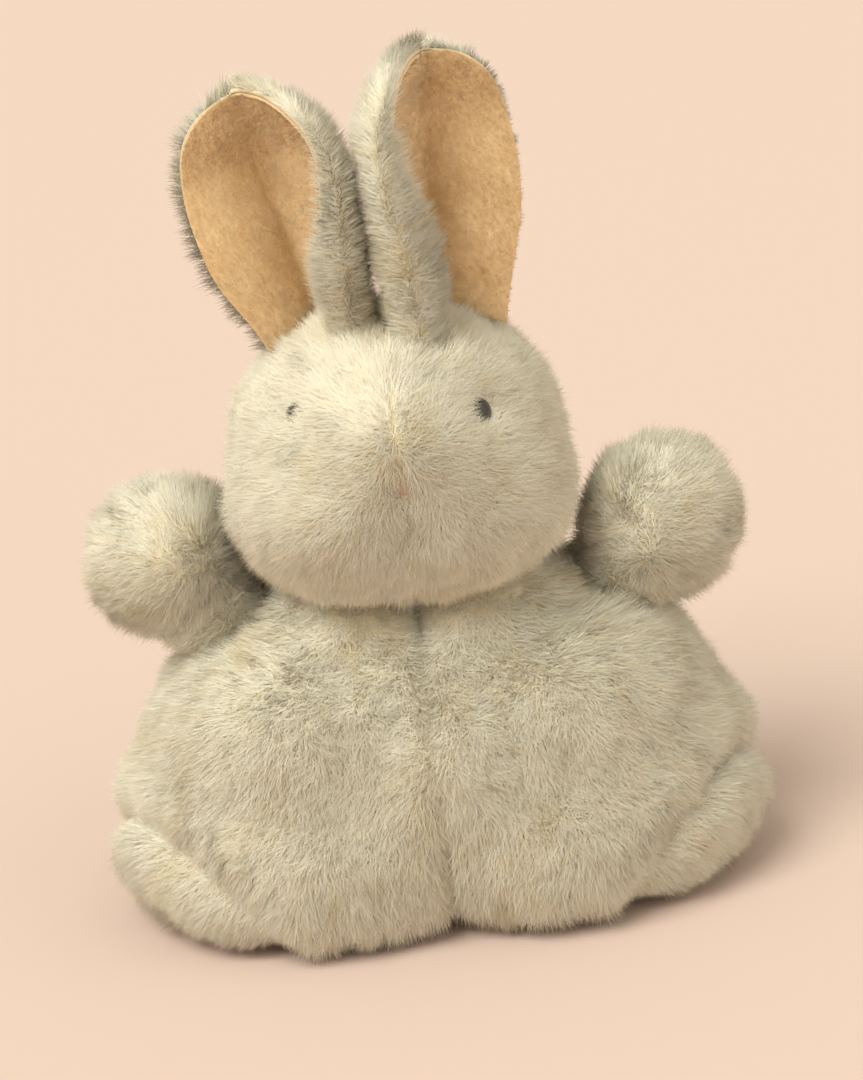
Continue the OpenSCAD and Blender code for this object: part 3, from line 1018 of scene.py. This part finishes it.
def ear_points(side, u, v):
    """The ear's middle sheet. u runs from the outer edge (-1) to the inner edge (1), v up the ear."""
    shape = EAR_SHAPES[side]
    turn = math.radians(shape["turn"])
    opening = np.array([math.sin(turn), -math.cos(turn)])
    inwards = np.array([-math.cos(turn), -math.sin(turn)])
    upper = np.clip((v - EAR_WIDEST) / (1 - EAR_WIDEST), 0, 1)
    foot = shape["foot"]
    wide = np.where(v < EAR_WIDEST, foot + (1 - foot) * smoothstep(v, 0, EAR_WIDEST),
                    np.sqrt(np.maximum(1 - upper ** EAR_BLUNTNESS, 0)))
    at = np.where(u > 0, u * SECTION_AT[-1], -u * SECTION_AT[0])
    curl = 1 - EAR_UNROLLED * smoothstep(v, 0.2, 1.0)
    across, out = ear_section(at, curl)
    wide = wide * shape["size"]
    across = (across - EAR_AXIS[0]) * wide + shape["inwards"]
    out = (out - EAR_AXIS[1]) * wide
    hood = EAR_HOOD * smoothstep(v, 0.7, 1.0)
    x = opening[0] * (out + hood) + inwards[0] * across
    y = opening[1] * (out + hood) + inwards[1] * across - 2.0 * v ** 2
    z = shape["length"] * v - (3.5 + 0.018 * (across ** 2 + out ** 2)) * (1 - v)
    base, axes = ear_frame(side)
    return base + np.stack([x, y, z], axis=-1) @ axes.T


def ear_sheet(side):
    """Points, triangles and outward normals of the ear's middle sheet, with each point's u and v."""
    v, u = np.meshgrid(1 - (1 - np.linspace(0, 0.995, EAR_ROWS)) ** 1.25,
                       np.linspace(-1, 1, EAR_COLUMNS), indexing="ij")
    p = ear_points(side, u.ravel(), v.ravel())
    i, j = np.meshgrid(np.arange(EAR_ROWS - 1), np.arange(EAR_COLUMNS - 1), indexing="ij")
    k = (i * EAR_COLUMNS + j).ravel()
    quads = np.stack([k, k + 1, k + EAR_COLUMNS + 1, k + EAR_COLUMNS], axis=1)
    if side > 0:
        quads = quads[:, ::-1]
    faces = np.vstack([quads[:, [0, 1, 2]], quads[:, [0, 2, 3]]])
    normals = vertex_normals(p, faces)
    back = ear_frame(side)[1][:, 1]
    middle = (u.ravel() < -0.3) & (u.ravel() > -0.9) & (v.ravel() < 0.6)
    if dot(normals[middle].mean(0), back) < 0:
        faces, normals = faces[:, ::-1], -normals
    return p, faces, normals, u.ravel(), v.ravel()


def rim_normals(side, p, normals, u, v):
    """Normals that lean over the rim, so that the hair there stands out past it."""
    step = 1e-3
    outwards_u = unit(ear_points(side, u + step, v) - ear_points(side, u - step, v)) * np.sign(u)[:, None]
    outwards_v = unit(ear_points(side, u, v) - ear_points(side, u, v - step))
    edge = smoothstep(np.abs(u), 0.72, 1.0)[:, None]
    top = smoothstep(v, 0.85, 1.0)[:, None]
    kept = 1 - 0.75 * np.maximum(edge, top)
    return unit(normals * kept + outwards_u * edge * 1.2 + outwards_v * top * 1.2)


EAR_CLOTH = 0.9            # the lining's thickness, and how far outside it the pile's backing lies


def make_ear(side):
    """An ear: a rolled sheet with pile outside and velour inside."""
    body = word_of(side) + "_ear"
    p, faces, normals, u, v = ear_sheet(side)
    p = p + normals * (0.35 * waves(p, 16, 101 + side))[:, None]
    outer = p + normals * EAR_CLOTH
    shell = sheet(f"{body}_backing", (outer, faces, normals), 1.0)
    shell.data.materials.append(backing_material())
    lining = sheet(f"{body}_lining_velour", (p - normals * 0.3, faces, normals), EAR_CLOTH)
    refine(lining)
    lining.data.materials.append(velour_material())
    up = ear_frame(side)[1][:, 2]

    def flow(q, n):
        return np.tile(up, (len(q), 1))

    panel = (outer, faces, rim_normals(side, outer, normals, u, v))

    def trim(q):
        nearest = np.argmin(np.linalg.norm(q[:, None] - outer[None, ::9], axis=2), axis=1) * 9
        rim = smoothstep(np.abs(u[nearest]), 0.6, 1.0) * smoothstep(-u[nearest], 0, 0.2)
        return 1 - EAR_SHAPES[side]["shorn"] * rim

    hair = grow(f"{body}_pile", panel, flow, trim=trim, **EAR_PILE)
    fuzz = grow(f"{body}_lining_fuzz", (p - normals * 1.2, faces[:, ::-1], -normals), flow,
                tones=VELOUR, **LINING_PILE)
    for node, slot, pieces in ((f"{body}_back", "pile", [shell, *hair]),
                               (f"{body}_lining", "lining", [lining, *fuzz])):
        for piece in pieces:
            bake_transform(piece)
            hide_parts(node)


# ---------- the tail ----------

def make_tail():
    """A small round tail."""
    centre = (tail_low + tail_high) / 2
    radius = (tail_high[2] - tail_low[2]) / 2 - SKIN_IN
    centre[1] = tail_high[1] - radius - SKIN_IN
    points, faces = project(Ball(centre, radius), centre, 5, reach=30)
    skin = make_mesh("tail_backing", points, faces)
    p = mesh_points(skin)
    n = vertex_normals(p, triangles(skin))

    def flow(q, m):
        return np.tile([0, 0.6, -0.8], (len(q), 1))

    hair = grow("tail_pile", (p, triangles(skin), n), flow, **TAIL_PILE)
    filling = stuffing("tail_stuffing", skin)
    skin.data.materials.append(backing_material())
    for piece in (skin, *hair):
        place(piece, "torso", "pile", "tail_cover")
    place(filling, "torso", "fibre", "tail_filling")


# ---------- the stage ----------

KEY, FILL, SKY = 2.45, 0.45, 0.68            # the strength of each light
KEY_WAY, FILL_WAY = (0.5, 0.55, -0.95), (-0.9, 0.8, -0.6)
FLOOR_REACH = 60.0              # metres, so that no low view sees its edge
# Degrees, and metres from the toy
CAMERA_ELEVATION, CAMERA_ROLL, CAMERA_DISTANCE = 17.0, 7.0, 0.85
SENSOR = 24                     # the height of the camera's film
VIEW_HEIGHT = 0.286             # metres of height that the picture spans at the toy
CAMERA_AIM = (0.0060, 0.0945)   # X and Z of the point that it aims at, in metres


def make_floor():
    """A plain pale floor."""
    mesh = bpy.data.meshes.new("floor")
    r = FLOOR_REACH
    mesh.from_pydata([(-r, -r, 0), (r, -r, 0), (r, r, 0), (-r, r, 0)], [], [(0, 1, 2, 3)])
    floor = bpy.data.objects.new("floor", mesh)
    bpy.context.scene.collection.objects.link(floor)
    floor.data.materials.append(principled("floor", rgb(218, 197, 188), 0.9))


def sun(name, towards, strength, softness, colour):
    """Daylight from one side; softness is the angle in degrees that its source fills."""
    data = bpy.data.lights.new(name, "SUN")
    data.energy = strength
    data.angle = math.radians(softness)
    data.color = colour
    lamp = bpy.data.objects.new(name, data)
    lamp.rotation_euler = Vector(towards).to_track_quat("-Z", "Y").to_euler()
    bpy.context.scene.collection.objects.link(lamp)


def make_lights():
    """Daylight from the upper left, a weak light from the right, and a plain sky.

    The camera sees a backdrop of the lit floor's colour instead of the sky."""
    sun("key", KEY_WAY, KEY, 38, (1.0, 0.975, 0.87))
    sun("fill", FILL_WAY, FILL, 70, (1.0, 0.97, 0.9))
    world = bpy.data.worlds.new("world")
    bpy.context.scene.world = world
    world.use_nodes = True
    nodes, links = world.node_tree.nodes, world.node_tree.links
    sky = nodes["Background"]
    sky.inputs["Color"].default_value = rgb(248, 238, 216)
    sky.inputs["Strength"].default_value = SKY
    backdrop = nodes.new("ShaderNodeBackground")
    backdrop.inputs["Color"].default_value = rgb(247, 218, 194)
    seen = nodes.new("ShaderNodeLightPath")
    either = nodes.new("ShaderNodeMixShader")
    links.new(seen.outputs["Is Camera Ray"], either.inputs["Fac"])
    links.new(sky.outputs["Background"], either.inputs[1])
    links.new(backdrop.outputs["Background"], either.inputs[2])
    links.new(either.outputs["Shader"], nodes["World Output"].inputs["Surface"])


def make_camera():
    """The photograph's view, which is tilted to one side."""
    aim = Vector((CAMERA_AIM[0], seam_y * MM, CAMERA_AIM[1]))
    elevation = math.radians(CAMERA_ELEVATION)
    back = Vector((0, -math.cos(elevation), math.sin(elevation)))
    data = bpy.data.cameras.new("camera")
    camera = bpy.data.objects.new("camera", data)
    camera.location = aim + CAMERA_DISTANCE * back
    look = (aim - camera.location).to_track_quat("-Z", "Y").to_matrix()
    camera.rotation_euler = (look @ Matrix.Rotation(math.radians(-CAMERA_ROLL), 3, "Z")).to_euler()
    data.sensor_fit = "VERTICAL"
    data.sensor_height = SENSOR
    data.lens = SENSOR * CAMERA_DISTANCE / VIEW_HEIGHT
    bpy.context.scene.collection.objects.link(camera)
    bpy.context.scene.camera = camera


# ---------- putting it together ----------

make_camera()
make_floor()
make_lights()
make_torso()
make_head()
make_nose()
make_eye("left", 2.0, -0.3)
make_eye("right", 2.0, -1.2)
for side in (1, -1):
    make_arm(side)
    make_ear(side)
make_tail()

neck = stuffing("neck_stuffing", frame["nodes"]["neck_filling"], 0.2)
place(neck, "neck", "fibre", "neck_filling")

thread = woven("thread", (232, 222, 198), (206, 192, 164), 0.3, 0.4, 0.6)
washer = woven("washer", (216, 213, 205), (204, 200, 190), 1.2, 0.1, 0.5)
for node, material in (("neck_thread", thread), ("closing_stitches", thread),
                       ("left_eye_washer", washer), ("right_eye_washer", washer)):
    frame["nodes"][node].data.materials.clear()
    frame["nodes"][node].data.materials.append(material)

bpy.context.scene.view_settings.view_transform = "Standard"
bpy.context.view_layer.update()
